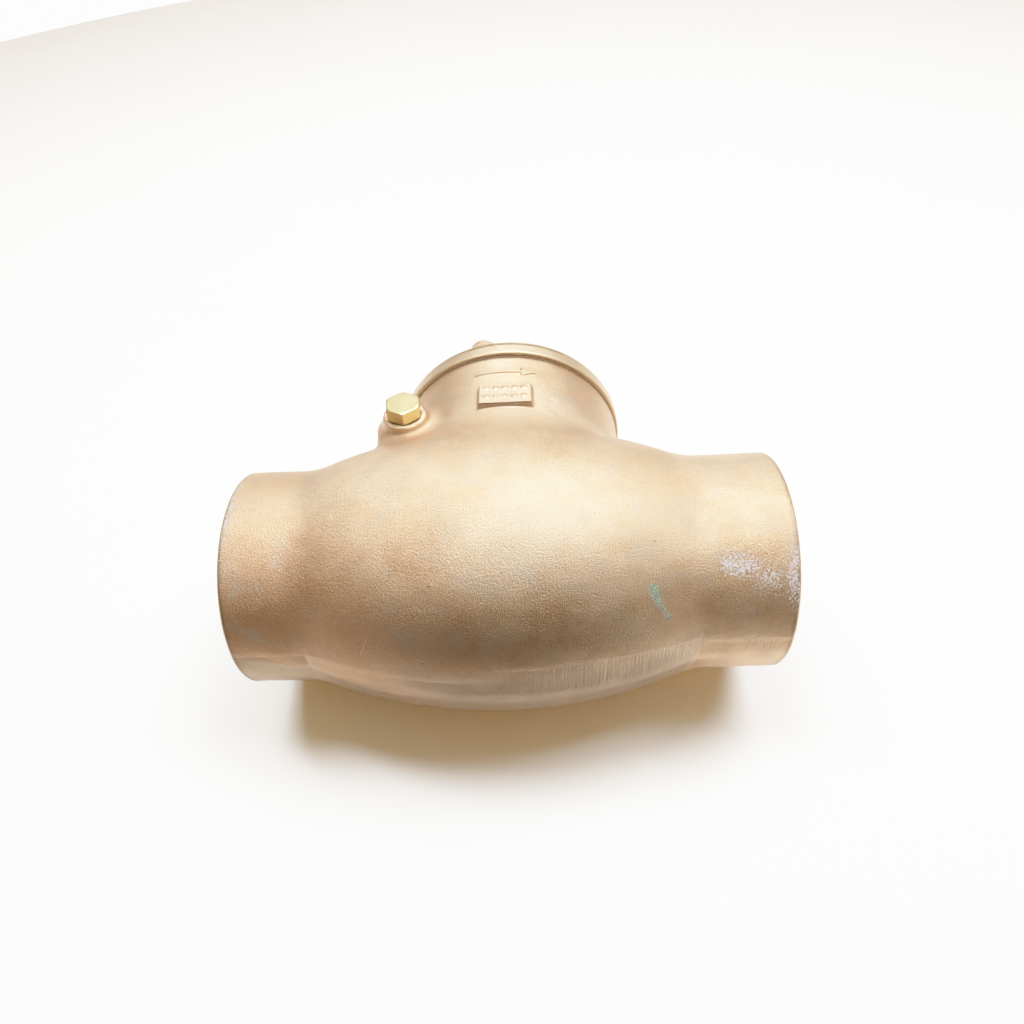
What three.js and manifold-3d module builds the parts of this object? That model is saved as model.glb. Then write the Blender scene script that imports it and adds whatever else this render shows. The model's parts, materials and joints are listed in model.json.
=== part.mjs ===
// Bronze swing check valve with solder ends, lying on its side. Millimetres.
//
// The valve is drawn in its own axes: X is the flow from inlet to outlet, Y runs up the neck to the cap,
// and Z is the axis of the hinge pin. Flow axis and neck axis cross at the origin. At the end the whole
// valve is laid down, so that the bowl and the rim of the cap both touch the ground.

import * as THREE from 'three';
import { mergeVertices } from 'three/addons/utils/BufferGeometryUtils.js';
import Module from 'manifold-3d';

// Gap left between pieces that touch, screw together or turn in each other.
const GAP = 0.3;

// Body casting: ends and solder cups.
const INLET_X = -107.5;
const OUTLET_X = 105.5;
const HUB_RADIUS = 44;
const CUP_RADIUS = 39.75;
const CUP_DEPTH = 42;
const CUP_STOP_RADIUS = 37;

// Body casting: the bowl is an arc swept round the flow axis.
const BOWL_CENTRE_X = -4;
const BOWL_RADIUS = 58.6;
const BOWL_ARC = 200;
const BOWL_WALL = 5.5;

// Body casting: neck.
const NECK_RADIUS = 51.8;
const NECK_TOP_Y = 77.6;
const NECK_BORE = 44.5;
const NECK_THREAD_BORE = 46.2;
const NECK_THREAD_Y = 65;
const NECK_BORE_FOOT_Y = 15;
const PLATE = { width: 23, height: 14.5, y: 50.2, face: 53.2 };

// Seat and the bridge wall that carries it.
const SEAT_X = -27;
const SEAT_WALL_X = -29;
const SEAT_WALL_BACK_X = -36;
const SEAT_BORE = 35;
const SEAT_RADIUS = 38.5;
const BRIDGE_Y = 34.8;

// Hinge: pin, pocket for the hanger's eye, side bosses and plugs.
const PIN_X = -43;
const PIN_Y = 47.7;
const PIN_RADIUS = 4;
const PIN_HALF = 38;
const POCKET_RADIUS = 8.6;
const POCKET_HALF = 24;
const BOSS_RADIUS = 13.2;
const BOSS_HALF = 42;
const BOSS_ROUND = 6;
const BOSS_COLLAR_RADIUS = 10.2;
const BOSS_COLLAR_HALF = 43;
const BOSS_FACE_RADIUS = 9;
const BOSS_FACE_HALF = 46.1;
const PLUG_SHANK = 6.3;
const PLUG_AF = 13.8;
const PLUG_HEAD = 5.7;
const PLUG_TURN = 0.62;

// Cap.
const CAP_RADIUS = 53.2;
const CAP_FOOT_Y = 79.2;
const CAP_TOP_Y = 87.8;
const CAP_CHAMFER = 1.4;
const CAP_SPIGOT_Y = 67;
const CAP_HOLLOW = 41;
const LUG = { count: 4, width: 14.5, inner: 16, outer: 48, height: 13.5, turn: -0.26 };

// Disc assembly, closed: seat disc, holder, hanger and their fasteners.
const DISC_RADIUS = 38.9;
const DISC_THICK = 4;
const HOLDER_RADIUS = 40.5;
const HOLDER_BACK_X = -18;
const STUD_RADIUS = 4;
const STUD_END_X = -38;
const STEM_RADIUS = 6;
const STEM_END_X = 4;
const EYE_RADIUS = 7.2;
const EYE_HALF = 22;
const ARM_FACE_X = HOLDER_BACK_X + GAP;
const ARM_BACK_X = -9.2;
const ARM_HALF = 8;
const COLLAR_RADIUS = 10.5;
const COTTER_RADIUS = 1.1;
const COTTER_X = 1.6;

// Sides of the large and the small round shapes.
const ROUND = 48;
const INNER = 36;
const FINE = 24;

const wasm = await Module();
wasm.setup();

// ---- from geometry to solid and back

function solid(geometry) {
  const bare = geometry.index ? geometry.toNonIndexed() : geometry.clone();
  bare.deleteAttribute('normal');
  bare.deleteAttribute('uv');
  const merged = mergeVertices(bare, 1e-4);
  const vertProperties = new Float32Array(merged.attributes.position.array);
  const triVerts = new Uint32Array(merged.index.array);
  return new wasm.Manifold(new wasm.Mesh({ numProp: 3, vertProperties, triVerts }));
}

function geometryOf(manifold) {
  const mesh = manifold.getMesh();
  const geometry = new THREE.BufferGeometry();
  geometry.setAttribute('position', new THREE.BufferAttribute(mesh.vertProperties, 3));
  geometry.setIndex(new THREE.BufferAttribute(mesh.triVerts, 1));
  return geometry;
}

function union(...pieces) {
  return pieces.reduce((sum, piece) => sum.add(piece));
}

// ---- round and flat building blocks

// A profile of [x, radius] pairs turned round the flow axis.
function turnedX(profile, segments = ROUND) {
  const points = profile.map(([x, radius]) => new THREE.Vector2(radius, x));
  const geometry = new THREE.LatheGeometry(points, segments);
  geometry.rotateZ(-Math.PI / 2);
  return solid(facingOut(geometry));
}

// A profile of [radius, y] pairs turned round the neck axis.
function turnedY(profile, segments = ROUND) {
  const points = profile.map(([radius, y]) => new THREE.Vector2(radius, y));
  return solid(facingOut(new THREE.LatheGeometry(points, segments)));
}

// Lathe faces point in or out by the direction of the profile, so turn them out where they point in.
function facingOut(geometry) {
  const flat = geometry.toNonIndexed();
  const p = flat.attributes.position;
  const [a, b, c] = [new THREE.Vector3(), new THREE.Vector3(), new THREE.Vector3()];
  let volume = 0;
  for (let i = 0; i < p.count; i += 3) {
    a.fromBufferAttribute(p, i);
    b.fromBufferAttribute(p, i + 1);
    c.fromBufferAttribute(p, i + 2);
    volume += a.dot(b.cross(c));
  }
  if (volume > 0) return flat;
  for (let i = 0; i < p.count; i += 3) {
    b.fromBufferAttribute(p, i + 1);
    c.fromBufferAttribute(p, i + 2);
    p.setXYZ(i + 1, c.x, c.y, c.z);
    p.setXYZ(i + 2, b.x, b.y, b.z);
  }
  return flat;
}

function barX(radius, x0, x1, segments = ROUND) {
  return turnedX([[x0, 0], [x0, radius], [x1, radius], [x1, 0]], segments);
}

function barY(radius, y0, y1) {
  return turnedY([[0, y0], [radius, y0], [radius, y1], [0, y1]]);
}

// A profile of [radius, z] pairs turned round the hinge axis.
function turnedPin(profile, segments = FINE) {
  const points = profile.map(([radius, z]) => new THREE.Vector2(radius, z));
  const geometry = new THREE.LatheGeometry(points, segments);
  geometry.rotateX(Math.PI / 2);
  geometry.translate(PIN_X, PIN_Y, 0);
  return solid(facingOut(geometry));
}

// A bar along the hinge axis.
function pinBar(radius, z0, z1, segments = FINE) {
  const geometry = new THREE.CylinderGeometry(radius, radius, z1 - z0, segments);
  geometry.rotateX(Math.PI / 2);
  geometry.translate(PIN_X, PIN_Y, (z0 + z1) / 2);
  return solid(geometry);
}

function ringX(outer, inner, x0, x1, segments = ROUND) {
  return barX(outer, x0, x1, segments).subtract(barX(inner, x0 - 1, x1 + 1, segments));
}

function block(x0, x1, y0, y1, z0, z1) {
  const geometry = new THREE.BoxGeometry(x1 - x0, y1 - y0, z1 - z0);
  geometry.translate((x0 + x1) / 2, (y0 + y1) / 2, (z0 + z1) / 2);
  return solid(geometry);
}

// A hexagonal bar along X with both ends chamfered to a round.
function hexX(acrossFlats, x0, x1, chamfer) {
  const corner = acrossFlats / Math.sqrt(3);
  const round = acrossFlats / 2 + 0.2;
  const cone = turnedX([
    [x0, 0],
    [x0, round],
    [x0 + chamfer, round + 2 * chamfer],
    [x1 - chamfer, round + 2 * chamfer],
    [x1, round],
    [x1, 0],
  ], FINE);
  return barX(corner, x0, x1, 6).intersect(cone);
}

// ---- body casting

function bowlRadius(x) {
  const dx = x - BOWL_CENTRE_X;
  return BOWL_RADIUS - BOWL_ARC + Math.sqrt(BOWL_ARC * BOWL_ARC - dx * dx);
}

// Half length of the bowl where its arc, less an inset, comes down to a radius.
function bowlHalf(radius, inset) {
  const drop = BOWL_RADIUS - inset - radius;
  return Math.sqrt(2 * BOWL_ARC * drop - drop * drop);
}

function bowlArc(x0, x1, steps, inset) {
  const points = [];
  for (let i = 0; i <= steps; i += 1) {
    const x = x0 + ((x1 - x0) * i) / steps;
    points.push([x, bowlRadius(x) - inset]);
  }
  return points;
}

// One bar through both bosses, with a round shoulder, a collar and a flat face at each end.
function bosses() {
  const end = [];
  for (let i = 0; i <= 3; i += 1) {
    const angle = (i * Math.PI) / 8;
    const radius = BOSS_RADIUS - BOSS_ROUND * (1 - Math.cos(angle));
    end.push([radius, BOSS_HALF - BOSS_ROUND * (1 - Math.sin(angle))]);
  }
  end.push([BOSS_COLLAR_RADIUS, BOSS_COLLAR_HALF], [BOSS_FACE_RADIUS, BOSS_FACE_HALF], [0, BOSS_FACE_HALF]);
  const otherEnd = end.map(([radius, z]) => [radius, -z]).reverse();
  return turnedPin([...otherEnd, ...end]);
}

function bodyOutside() {
  const half = bowlHalf(HUB_RADIUS, 0);
  const barrel = turnedX([
    [INLET_X, 0],
    [INLET_X, HUB_RADIUS],
    ...bowlArc(BOWL_CENTRE_X - half, BOWL_CENTRE_X + half, 10, 0),
    [OUTLET_X, HUB_RADIUS],
    [OUTLET_X, 0],
  ]);
  const neck = barY(NECK_RADIUS, 0, NECK_TOP_Y);
  const plate = block(
    -PLATE.width / 2, PLATE.width / 2,
    PLATE.y - PLATE.height / 2, PLATE.y + PLATE.height / 2,
    BOWL_WALL, PLATE.face,
  );
  return union(barrel, neck, bosses(), plate);
}

// Inlet: cup, then a passage that widens with the bowl under the bridge wall and narrows to the seat.
function inletPassage() {
  const stopX = INLET_X + CUP_DEPTH;
  const cup = barX(CUP_RADIUS, INLET_X - 1, stopX);
  const throat = turnedX([
    [stopX - 1, 0],
    [stopX - 1, CUP_STOP_RADIUS],
    [stopX, CUP_STOP_RADIUS],
    [SEAT_WALL_BACK_X, SEAT_BORE],
    [SEAT_X + 1, SEAT_BORE],
    [SEAT_X + 1, 0],
  ], INNER);
  const swell = turnedX([
    [stopX + 2, 0],
    [stopX + 2, CUP_STOP_RADIUS],
    ...bowlArc(stopX + 14, SEAT_WALL_BACK_X - 4, 3, BOWL_WALL + 1),
    [SEAT_WALL_BACK_X, SEAT_RADIUS + 2],
    [SEAT_WALL_BACK_X, 0],
  ], INNER);
  const roof = block(INLET_X, 0, BRIDGE_Y, BOWL_RADIUS, -BOWL_RADIUS, BOWL_RADIUS);
  return union(cup, throat, swell.subtract(roof));
}

// Outlet: the chamber behind the seat follows the bowl and runs out into the other cup.
function outletPassage() {
  const stopX = OUTLET_X - CUP_DEPTH;
  const cup = barX(CUP_RADIUS, stopX, OUTLET_X + 1);
  const chamber = turnedX([
    [SEAT_WALL_X, 0],
    ...bowlArc(SEAT_WALL_X, stopX - 12, 5, BOWL_WALL),
    [stopX, CUP_STOP_RADIUS],
    [stopX + 1, CUP_STOP_RADIUS],
    [stopX + 1, 0],
  ], INNER);
  const seat = ringX(SEAT_RADIUS, SEAT_BORE, SEAT_WALL_X - 1, SEAT_X, INNER);
  return union(cup, chamber.subtract(seat));
}

// Neck bore: threaded at the top, deep behind the seat, and stopping above the bridge wall before it.
function neckBore() {
  const bridgeTop = PIN_Y - POCKET_RADIUS;
  const thread = barY(NECK_THREAD_BORE, NECK_THREAD_Y, NECK_TOP_Y + 1);
  const upper = barY(NECK_BORE, bridgeTop, NECK_THREAD_Y + 1);
  const lower = barY(NECK_BORE, NECK_BORE_FOOT_Y, bridgeTop + 1);
  const behindSeat = block(SEAT_WALL_X, NECK_RADIUS, 0, NECK_TOP_Y, -NECK_RADIUS, NECK_RADIUS);
  return union(thread, upper, lower.intersect(behindSeat));
}

function hingeHoles() {
  const pocket = pinBar(POCKET_RADIUS, -POCKET_HALF, POCKET_HALF);
  const mouth = block(
    PIN_X, SEAT_WALL_X, PIN_Y - POCKET_RADIUS, PIN_Y + POCKET_RADIUS, -POCKET_HALF, POCKET_HALF,
  );
  const pinHole = pinBar(PIN_RADIUS + GAP, -BOSS_FACE_HALF - 1, BOSS_FACE_HALF + 1);
  const plugHoles = [-1, 1].map((side) => {
    const ends = [side * PIN_HALF, side * (BOSS_FACE_HALF + 1)].sort((a, b) => a - b);
    return pinBar(PLUG_SHANK + GAP, ends[0], ends[1]);
  });
  return union(pocket, mouth, pinHole, ...plugHoles);
}

function body() {
  return bodyOutside()
    .subtract(inletPassage())
    .subtract(outletPassage())
    .subtract(neckBore())
    .subtract(hingeHoles());
}

// ---- cap

function capLug(index) {
  const { width, inner, outer, height, turn, count } = LUG;
  const shape = new THREE.Shape();
  shape.moveTo(inner, -width / 2);
  shape.lineTo(outer - width / 2, -width / 2);
  shape.absarc(outer - width / 2, 0, width / 2, -Math.PI / 2, Math.PI / 2, false);
  shape.lineTo(inner, width / 2);
  const geometry = new THREE.ExtrudeGeometry(shape, {
    depth: height + 1, bevelEnabled: false, curveSegments: 8,
  });
  geometry.rotateX(-Math.PI / 2);
  geometry.rotateY(turn - Math.PI / 2 + (index * 2 * Math.PI) / count);
  geometry.translate(0, CAP_TOP_Y - 1, 0);
  return solid(geometry);
}

function cap() {
  const disc = turnedY([
    [0, CAP_FOOT_Y + 1],
    [CAP_HOLLOW - 2, CAP_FOOT_Y + 1],
    [CAP_HOLLOW, CAP_FOOT_Y - 1],
    [CAP_HOLLOW, CAP_SPIGOT_Y],
    [NECK_THREAD_BORE - GAP, CAP_SPIGOT_Y],
    [NECK_THREAD_BORE - GAP, CAP_FOOT_Y],
    [CAP_RADIUS, CAP_FOOT_Y],
    [CAP_RADIUS, CAP_TOP_Y - CAP_CHAMFER],
    [CAP_RADIUS - CAP_CHAMFER, CAP_TOP_Y],
    [0, CAP_TOP_Y],
  ]);
  const lugs = [];
  for (let i = 0; i < LUG.count; i += 1) lugs.push(capLug(i));
  return union(disc, ...lugs);
}

function capGasket() {
  const ring = barY(NECK_RADIUS - 0.4, NECK_TOP_Y + GAP, CAP_FOOT_Y - GAP);
  return ring.subtract(barY(NECK_THREAD_BORE + 0.2, NECK_TOP_Y, CAP_FOOT_Y));
}

// ---- hinge

function hingePin() {
  return pinBar(PIN_RADIUS, -PIN_HALF, PIN_HALF);
}

// The plug stands on +Z and is turned round for the other side.
function sidePlug(side) {
  const headFoot = BOSS_FACE_HALF + GAP;
  const head = hexX(PLUG_AF, headFoot, headFoot + PLUG_HEAD, 1.1);
  const shank = barX(PLUG_SHANK, PIN_HALF + 1, headFoot + 1, FINE);
  return head.add(shank)
    .rotate([(PLUG_TURN * 180) / Math.PI, 0, 0])
    .rotate([0, -90 * side, 0])
    .translate([PIN_X, PIN_Y, 0]);
}

function discHanger() {
  const top = PIN_Y + 4.6;
  const under = HOLDER_RADIUS + 1.8;
  const shape = new THREE.Shape();
  shape.moveTo(ARM_FACE_X, 0);
  shape.lineTo(ARM_FACE_X, under);
  shape.lineTo(PIN_X + 3, under);
  shape.lineTo(PIN_X, top);
  shape.lineTo(ARM_BACK_X - 12, top);
  shape.absarc(ARM_BACK_X - 12, top - 12, 12, Math.PI / 2, 0, true);
  shape.lineTo(ARM_BACK_X, 0);
  const extruded = new THREE.ExtrudeGeometry(shape, {
    depth: 2 * ARM_HALF, bevelEnabled: false, curveSegments: 6,
  });
  extruded.translate(0, 0, -ARM_HALF);
  const arm = solid(extruded);
  const eye = pinBar(EYE_RADIUS, -EYE_HALF, EYE_HALF);
  const collar = barX(COLLAR_RADIUS, ARM_FACE_X, ARM_BACK_X, FINE);
  return union(arm, eye, collar)
    .subtract(pinBar(PIN_RADIUS + GAP, -EYE_HALF - 1, EYE_HALF + 1))
    .subtract(barX(STEM_RADIUS + GAP, ARM_FACE_X - 1, ARM_BACK_X + 1, FINE));
}

// ---- disc

const DISC_FRONT_X = SEAT_X + GAP;
const RECESS_X = DISC_FRONT_X + DISC_THICK + GAP;

function seatDisc() {
  return ringX(DISC_RADIUS, STUD_RADIUS + GAP, DISC_FRONT_X, DISC_FRONT_X + DISC_THICK, INNER);
}

function discHolder() {
  const rimX = DISC_FRONT_X + 1.4;
  const turned = turnedX([
    [STUD_END_X, 0],
    [STUD_END_X, STUD_RADIUS - 0.8],
    [STUD_END_X + 0.8, STUD_RADIUS],
    [RECESS_X, STUD_RADIUS],
    [RECESS_X, DISC_RADIUS + GAP],
    [rimX, DISC_RADIUS + GAP],
    [rimX, HOLDER_RADIUS],
    [HOLDER_BACK_X - 1.6, HOLDER_RADIUS],
    [HOLDER_BACK_X, HOLDER_RADIUS - 2.4],
    [HOLDER_BACK_X, STEM_RADIUS],
    [STEM_END_X - 1, STEM_RADIUS],
    [STEM_END_X, STEM_RADIUS - 1],
    [STEM_END_X, 0],
  ], INNER);
  return turned.subtract(cotterHole());
}

function cotterHole() {
  const geometry = new THREE.CylinderGeometry(
    COTTER_RADIUS + GAP, COTTER_RADIUS + GAP, 4 * STEM_RADIUS, 12,
  );
  geometry.rotateX(Math.PI / 2);
  geometry.translate(COTTER_X, 0, 0);
  return solid(geometry);
}

function seatDiscWasher() {
  return ringX(16, STUD_RADIUS + GAP, DISC_FRONT_X - GAP - 2, DISC_FRONT_X - GAP, FINE);
}

function seatDiscNut() {
  const x1 = DISC_FRONT_X - 2 * GAP - 2;
  return hexX(13, x1 - 5.5, x1, 0.9).subtract(barX(STUD_RADIUS + GAP, x1 - 7, x1 + 1, FINE));
}

function hangerWasher() {
  return ringX(10, STEM_RADIUS + GAP, ARM_BACK_X + GAP, ARM_BACK_X + GAP + 1.2, FINE);
}

function hangerNut() {
  const x0 = ARM_BACK_X + 2 * GAP + 1.2;
  return hexX(19, x0, x0 + 7, 1.2).subtract(barX(STEM_RADIUS + GAP, x0 - 1, x0 + 8, FINE));
}

// Split pin: a shank through the stem, a loop for a head, and two legs bent apart.
function cotterPin() {
  const reach = STEM_RADIUS + 2.4;
  const shank = new THREE.CylinderGeometry(COTTER_RADIUS, COTTER_RADIUS, 2 * reach, 12);
  shank.rotateX(Math.PI / 2);
  const loop = new THREE.TorusGeometry(2, 0.8, 8, 16);
  loop.rotateY(Math.PI / 2);
  loop.translate(0, 0, -reach - 1.4);
  const legs = [-1, 1].map((side) => {
    const leg = new THREE.CylinderGeometry(0.7, 0.7, 6, 10);
    leg.rotateX(Math.PI / 2);
    leg.translate(0, 0, 3);
    leg.rotateX(side * 0.9);
    leg.translate(0, 0, reach - 1);
    return solid(leg);
  });
  return union(solid(shank), solid(loop), ...legs).translate([COTTER_X, 0, 0]);
}

// ---- materials

const castBronze = { color: 0xb98458, roughness: 0.55, metalness: 0.7 };
const brass = { color: 0xd9b35e, roughness: 0.3, metalness: 0.9 };
const fibre = { color: 0x3b3733, roughness: 0.9, metalness: 0 };
const stainless = { color: 0xb4b4b0, roughness: 0.35, metalness: 0.9 };
const softSeat = { color: 0xece8de, roughness: 0.6, metalness: 0 };

function piece(name, manifold, finish) {
  const mesh = new THREE.Mesh(geometryOf(manifold), new THREE.MeshStandardMaterial(finish));
  mesh.name = name;
  return mesh;
}

// ---- assembly

const discAssembly = new THREE.Group();
discAssembly.add(
  piece('disc_holder', discHolder(), brass),
  piece('seat_disc', seatDisc(), softSeat),
  piece('seat_disc_washer', seatDiscWasher(), brass),
  piece('seat_disc_nut', seatDiscNut(), brass),
  piece('hanger_washer', hangerWasher(), brass),
  piece('hanger_nut', hangerNut(), brass),
  piece('cotter_pin', cotterPin(), stainless),
);

const valve = new THREE.Group();
valve.add(
  piece('body', body(), castBronze),
  piece('cap', cap(), castBronze),
  piece('cap_gasket', capGasket(), fibre),
  piece('hinge_pin', hingePin(), stainless),
  piece('side_plug_top', sidePlug(1), brass),
  piece('side_plug_bottom', sidePlug(-1), brass),
  piece('disc_hanger', discHanger(), castBronze),
  discAssembly,
);

// The valve tips over towards its cap until the rim of the cap is as low as the bowl.
function layDown(group) {
  const rimY = CAP_TOP_Y - CAP_CHAMFER;
  const reach = Math.hypot(rimY, CAP_RADIUS);
  const tip = Math.asin(BOWL_RADIUS / reach) - Math.atan2(CAP_RADIUS, rimY);
  group.rotation.x = -tip;
  const stood = new THREE.Group();
  stood.add(group);
  stood.updateMatrixWorld(true);
  const box = new THREE.Box3().setFromObject(group, true);
  const centre = box.getCenter(new THREE.Vector3());
  stood.position.set(-centre.x, -centre.y, -box.min.z);
  return stood;
}

export default layDown(valve);
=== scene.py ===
"""Looks of a bronze swing check valve with solder ends, lying on its side on a pale table.

Shapes are written as signed distances, in millimetres, in the valve's own axes: X with the flow, Y up the
neck to the cap, Z along the hinge pin. Each one is meshed on a grid and placed in the frame in metres.
"""

import itertools
import json
import math

import bmesh
import bpy
import numpy as np
from mathutils import Matrix, Vector


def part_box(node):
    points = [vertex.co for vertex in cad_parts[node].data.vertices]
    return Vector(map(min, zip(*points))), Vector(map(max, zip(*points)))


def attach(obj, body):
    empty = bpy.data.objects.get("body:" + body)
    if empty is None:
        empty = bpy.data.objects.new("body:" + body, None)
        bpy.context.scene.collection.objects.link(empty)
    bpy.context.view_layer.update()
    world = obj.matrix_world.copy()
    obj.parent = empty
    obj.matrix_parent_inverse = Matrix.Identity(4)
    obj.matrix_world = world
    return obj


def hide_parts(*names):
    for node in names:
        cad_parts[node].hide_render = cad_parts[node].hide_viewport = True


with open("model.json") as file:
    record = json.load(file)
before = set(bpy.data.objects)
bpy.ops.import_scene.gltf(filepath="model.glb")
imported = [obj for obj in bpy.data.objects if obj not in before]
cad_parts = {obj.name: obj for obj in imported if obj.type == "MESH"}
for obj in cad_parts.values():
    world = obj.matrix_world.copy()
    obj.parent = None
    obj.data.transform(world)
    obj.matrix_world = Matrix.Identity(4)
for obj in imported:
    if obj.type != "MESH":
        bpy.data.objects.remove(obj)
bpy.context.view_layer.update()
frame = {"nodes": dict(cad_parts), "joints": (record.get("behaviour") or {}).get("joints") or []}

MM = 0.001
COARSE = 1.0

# -------- the valve's axes, from its joints

JOINTS = {joint["name"]: joint for joint in frame["joints"]}
PIN_AXIS = Vector(JOINTS["disc_swing"]["axis"]).normalized()
FLOW_AXIS = Vector((1, 0, 0))
NECK_AXIS = PIN_AXIS.cross(FLOW_AXIS)
CAP_LOW, CAP_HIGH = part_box("cap")
ORIGIN = Vector(((CAP_LOW.x + CAP_HIGH.x) / 2, *JOINTS["disc_spin"]["pos_m"][1:]))
TO_ROW = np.array([FLOW_AXIS, NECK_AXIS, PIN_AXIS])


def to_row(points):
    """Points in the valve's axes and millimetres, as points in the frame and metres."""
    return points @ TO_ROW * MM + np.array(ORIGIN)


def valve_box(node):
    """Lowest and highest corner of a CAD node in the valve's axes, in millimetres."""
    points = np.array([v.co for v in frame["nodes"][node].data.vertices]) - np.array(ORIGIN)
    points = points @ TO_ROW.T / MM
    return points.min(0), points.max(0)


# -------- driving dimensions, millimetres

body_low, body_high = valve_box("body")
cap_low, cap_high = valve_box("cap")
gasket_low, gasket_high = valve_box("cap_gasket")
holder_low, holder_high = valve_box("disc_holder")
seat_low, seat_high = valve_box("seat_disc")
hanger_low, hanger_high = valve_box("disc_hanger")
pin_low, pin_high = valve_box("hinge_pin")
plug_low, plug_high = valve_box("side_plug_top")

INLET_X, OUTLET_X = body_low[0], body_high[0]
BOWL_X = -4.0
BOWL_RADIUS = -body_low[1]
BOWL_ARC = 200.0
WALL = 5.5
HUB_RADIUS = 44.0
CUP_RADIUS = 39.75
CUP_DEPTH = 42.0
CUP_STOP_RADIUS = 37.0
NECK_RADIUS = 51.8
NECK_TOP = body_high[1]
NECK_BORE = 44.5
THREAD_BORE = 46.2
THREAD_Y = 65.0
THREAD_PITCH = 2.2
THREAD_DEPTH = 0.9
SEAT_X = seat_low[0] - 0.3
SEAT_WALL_X = SEAT_X - 2
SEAT_BACK_X = SEAT_X - 9
SEAT_BORE = 35.0
SEAT_RING = 38.5
BRIDGE_Y = 34.8
PIN_X = (pin_low[0] + pin_high[0]) / 2
PIN_Y = (pin_low[1] + pin_high[1]) / 2
PIN_RADIUS = (pin_high[0] - pin_low[0]) / 2
PIN_HALF = pin_high[2]
POCKET_RADIUS = 8.6
POCKET_HALF = 24.0
BOSS_FACE = 46.1
LOBE_RADIUS = 13.2
LOBE_HALF = 42.0
COLLAR_RADIUS = 9.0
CAP_RADIUS = cap_high[0]
CAP_FOOT = gasket_high[1] + 0.3
CAP_TOP = CAP_FOOT + 8.6
CAP_BORE = 41.0
LUG_COUNT = 4
LUG_REACH = 48.0
LUG_WIDTH = 14.5
LUG_TURN = math.radians(-15)
PLATE_Y = 50.2
PLATE_FACE = 53.3
PLATE_HALF_WIDTH = 10.8
PLATE_HALF_HEIGHT = 6.4
DOT_COLUMNS = 5
DOT_SPACING = 3.9
DOT_RADIUS = 1.4
ARROW_Y = 66.5
ARROW_TIP_X = 13.5
PLUG_ACROSS = 13.8
PLUG_TURN = math.radians(35.6)
HOLDER_BACK_X = -18.0
STUD_HOLE = 4.3
STEM_RADIUS = 6.0
STEM_HOLE = 6.3
COTTER_X = 1.6

# -------- distances


def smin(a, b, k):
    """Union of two distances with a fillet; k is about the width that the fillet takes."""
    h = np.maximum(k - np.abs(a - b), 0) / k
    return np.minimum(a, b) - h * h * k / 4


def smax(a, b, k):
    """Intersection of two distances with a rounded edge."""
    return -smin(-a, -b, k)


def bar(rho, along, radius, low, high, edge=0.4):
    """A round bar: rho is the distance from its axis, along the place on it, edge its edges' radius."""
    side = rho - radius + edge
    end = np.abs(along - (low + high) / 2) - (high - low) / 2 + edge
    return np.minimum(np.maximum(side, end), 0) + np.hypot(np.maximum(side, 0), np.maximum(end, 0)) - edge


def box(x, y, z, centre, half, edge=0.3):
    """A block with rounded edges."""
    sides = [np.abs(v - c) - h + edge for v, c, h in zip((x, y, z), centre, half)]
    out = np.sqrt(sum(np.maximum(s, 0) ** 2 for s in sides))
    return out + np.minimum(np.maximum(np.maximum(sides[0], sides[1]), sides[2]), 0) - edge


def hexagon(u, v, across, turn=0.0):
    """Distance inside a hexagon from its sides; turn is where one corner points."""
    apothem = across / 2
    far = -1e9
    for i in range(6):
        angle = turn + math.radians(30 + 60 * i)
        far = np.maximum(far, u * math.cos(angle) + v * math.sin(angle) - apothem)
    return far


def hex_bar(u, v, along, across, low, high, turn=0.0, both=True):
    """A hexagonal bar with both ends, or only the high one, turned to a cone, as nuts and plugs have."""
    ends = np.abs(along - (low + high) / 2) - (high - low) / 2
    prism = smax(hexagon(u, v, across, turn), ends, 0.25)
    cone = (np.hypot(u, v) - across / 2 - 0.1) * 0.5
    return smax(prism, cone + (ends if both else along - high) * 0.87, 0.2)


def thread(rho, angle, along, radius, pitch, depth):
    """A round bar's side with a screw thread cut in it."""
    turn = along / pitch - angle / (2 * math.pi)
    wave = np.abs(turn - np.floor(turn) - 0.5) * 2
    return rho - radius + depth * wave


def bowl(x, flow, inset=0.0):
    """Distance from the bowl's surface of revolution, or from one inside it."""
    return np.hypot(x - BOWL_X, flow + BOWL_ARC - BOWL_RADIUS) - BOWL_ARC + inset


def bowl_radius(x):
    return np.sqrt(BOWL_ARC ** 2 - (x - BOWL_X) ** 2) - BOWL_ARC + BOWL_RADIUS


# -------- the body casting


def ribbed_strip(x):
    """The ground-off parting line, right of the middle: its turn about the flow axis, and its depth."""
    return np.full_like(x, 0.07), 0.5 * np.clip((x + 45) / 30, 0, 1) * np.clip((90 - x) / 20, 0.2, 1)


def smooth_strip(x):
    """The second, plainer pass of the grinder, which wanders up the left hub."""
    left = np.clip((-44 - x) / 58, 0, 1)
    return 0.03 - 0.32 * np.sqrt(1 - left), 0.4 - 0.25 * left


def joint_fillet(x, y, z):
    """The fillet between bowl and hubs: small where the grinder cut into it, right below."""
    cut = (x > 0) & (y < 0)
    return np.where(cut, 0.7 + 1.7 * np.clip((np.abs(z - 2) - 9) / 8, 0, 1), 2.4)


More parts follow.
